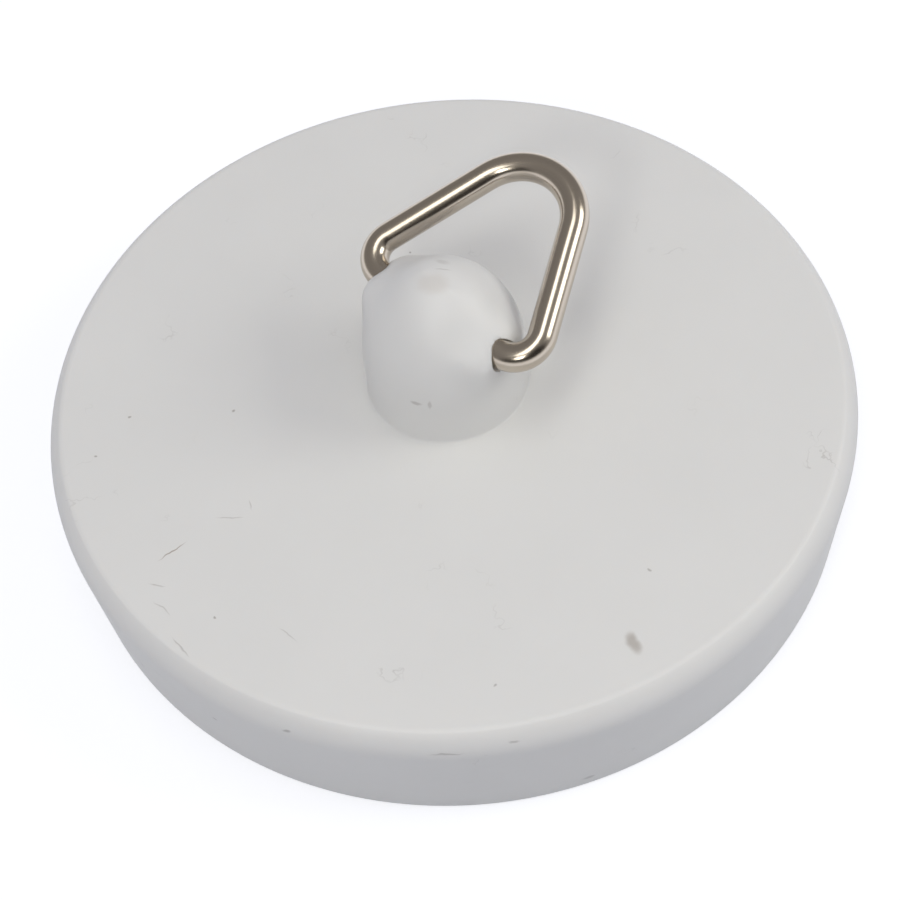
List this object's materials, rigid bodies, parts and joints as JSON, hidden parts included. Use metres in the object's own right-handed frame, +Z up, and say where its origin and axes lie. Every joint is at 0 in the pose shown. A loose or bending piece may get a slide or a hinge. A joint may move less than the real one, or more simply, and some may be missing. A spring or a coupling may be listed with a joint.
{
  "type": "sink plug",
  "caption": "Round white sink or bath plug with a tapered skirt, a domed boss with two small lugs on its crowned top, and a wire triangle that swings in the lugs to take a chain.",
  "frame": {"origin": "centre of the foot ring, on the surface that the plug stands on", "axes": "+Z up along the plug's axis, +X along the cross bore that the wire triangle swings in, +Y the way the triangle leans at rest"},
  "size_m": [0.0454, 0.0454, 0.0179],
  "materials": {
    "white_pvc": "moulded, satin",
    "nickel_wire": "nickel-plated drawn wire"
  },
  "bodies": {
    "plug": {"plug_body": "white_pvc"},
    "wire_loop": {"wire_triangle": "nickel_wire"}
  },
  "joints": [
    {"name": "loop_swing", "type": "hinge", "parent": "plug", "child": "wire_loop", "pos_m": [0, 0, 0.01395], "axis": [1, 0, 0], "range_deg": [-46, 189]}
  ]
}
